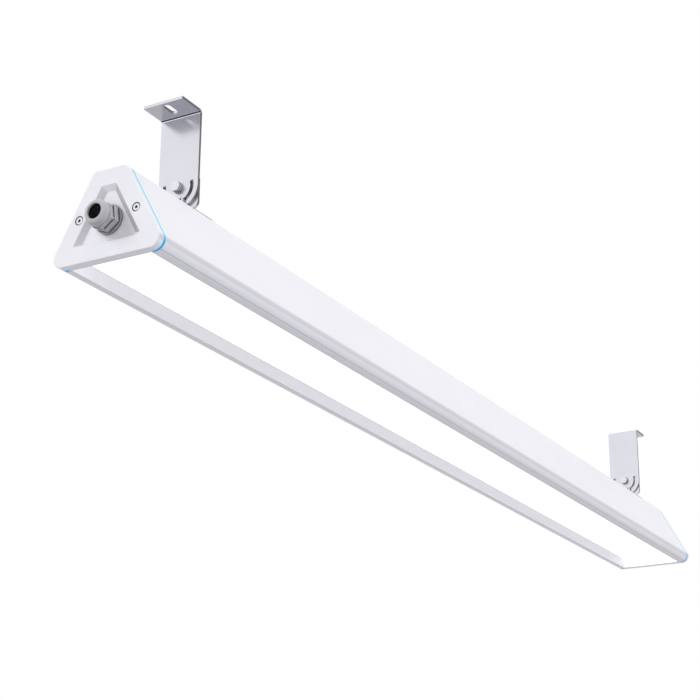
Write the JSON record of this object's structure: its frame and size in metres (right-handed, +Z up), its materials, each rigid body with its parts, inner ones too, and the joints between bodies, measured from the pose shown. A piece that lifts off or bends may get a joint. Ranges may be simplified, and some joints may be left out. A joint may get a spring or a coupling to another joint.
{
  "type": "linear high bay light",
  "caption": "Long three-sided LED high bay light, lit through an opal underside, with a cable gland, gasketed end caps and tilting steel ceiling brackets that slide along its top.",
  "frame": {"origin": "on the ceiling, midway between the fixing slots of the two brackets", "axes": "+X along the light, away from the cable gland; +Z up, out of the ceiling face of the flanges"},
  "size_m": [1.2162, 0.0996, 0.163],
  "materials": {
    "white_profile": "white powder coat on aluminium",
    "white_cap": "white powder coat on a die-cast cap",
    "opal_sheet": "opal acrylic, lit from behind",
    "cyan_silicone": "soft translucent silicone",
    "grey_plastic": "moulded grey nylon",
    "black_rubber": "matt black rubber",
    "bracket_steel": "zinc-plated folded steel sheet",
    "zinc_steel": "bright zinc-plated steel",
    "tray_sheet": "plain aluminium sheet",
    "board_white": "white solder mask",
    "chip_phosphor": "yellow phosphor",
    "driver_case": "white moulded case",
    "terminal_plastic": "moulded terminal block",
    "wire_sleeve": "silicone-sleeved wire"
  },
  "bodies": {
    "light": {"housing_profile": "white_profile", "diffuser": "opal_sheet", "near_end_cap": "white_cap", "far_end_cap": "white_cap", "near_gasket": "cyan_silicone", "far_gasket": "cyan_silicone", "near_cap_screws": "zinc_steel", "far_cap_screws": "zinc_steel", "gland_washer": "black_rubber", "gland_body": "grey_plastic", "gland_nut": "grey_plastic", "gland_seal": "black_rubber", "gland_locknut": "grey_plastic", "gear_tray": "tray_sheet", "led_boards": "board_white", "led_chips": "chip_phosphor", "led_board_screws": "zinc_steel", "led_driver": "driver_case", "driver_screws": "zinc_steel", "terminal_block": "terminal_plastic", "terminal_screws": "zinc_steel", "supply_wires": "wire_sleeve", "led_wires": "wire_sleeve", "tray_grommet": "black_rubber"},
    "near_foot": {"near_foot_bracket": "bracket_steel", "near_foot_screws": "zinc_steel", "near_slot_nuts": "zinc_steel", "near_pivot_bolt": "zinc_steel", "near_pivot_washer": "zinc_steel", "near_pivot_nut": "zinc_steel", "near_lock_screw": "zinc_steel"},
    "near_tilt": {"near_tilt_bracket": "bracket_steel"},
    "far_foot": {"far_foot_bracket": "bracket_steel", "far_foot_screws": "zinc_steel", "far_slot_nuts": "zinc_steel", "far_pivot_bolt": "zinc_steel", "far_pivot_washer": "zinc_steel", "far_pivot_nut": "zinc_steel", "far_lock_screw": "zinc_steel"},
    "far_tilt": {"far_tilt_bracket": "bracket_steel"}
  },
  "joints": [
    {"name": "near_foot_slide", "type": "slide", "parent": "light", "child": "near_foot", "axis": [1, 0, 0], "range_m": [-0.05, 0.4]},
    {"name": "near_tilt_hinge", "type": "hinge", "parent": "near_foot", "child": "near_tilt", "pos_m": [-0.50875, 0, -0.0675], "axis": [1, 0, 0], "range_deg": [-80, 80]},
    {"name": "far_foot_slide", "type": "slide", "parent": "light", "child": "far_foot", "axis": [1, 0, 0], "range_m": [-0.4, 0.03]},
    {"name": "far_tilt_hinge", "type": "hinge", "parent": "far_foot", "child": "far_tilt", "pos_m": [0.50875, 0, -0.0675], "axis": [1, 0, 0], "range_deg": [-80, 80]}
  ]
}
